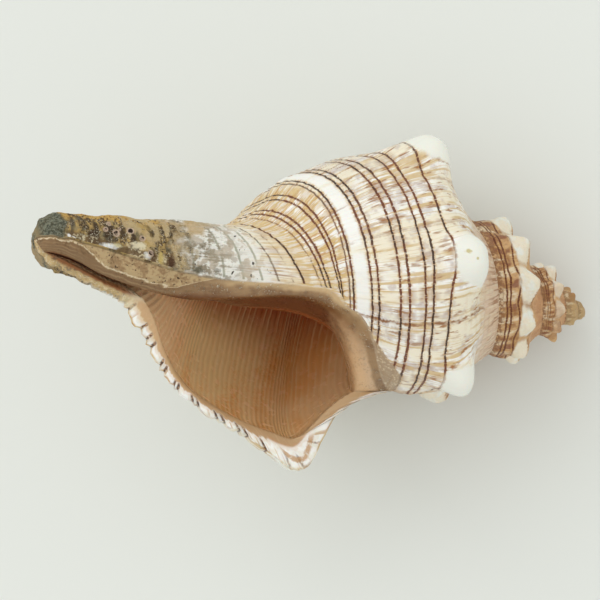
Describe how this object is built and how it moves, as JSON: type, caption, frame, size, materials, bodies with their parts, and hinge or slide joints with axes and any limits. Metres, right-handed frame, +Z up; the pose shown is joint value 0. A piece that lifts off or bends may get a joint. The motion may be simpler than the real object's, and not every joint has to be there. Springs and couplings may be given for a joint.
{
  "type": "horse conch shell",
  "caption": "Empty spired sea snail shell with a knobbed shoulder, an open oval mouth and a long canal, lying mouth up.",
  "frame": {"origin": "middle of the shell's box, on the surface that it rests on", "axes": "+Z up out of the mouth, +X towards the spire, so that the canal points along -X, +Y to the side away from the outer lip"},
  "size_m": [0.1264, 0.0828, 0.0759],
  "materials": {
    "shell": "glossy limy shell, cream with brown spiral lines, smooth orange-brown inside the mouth"
  },
  "bodies": {
    "root": {"horse_conch_shell": "shell"}
  },
  "joints": []
}
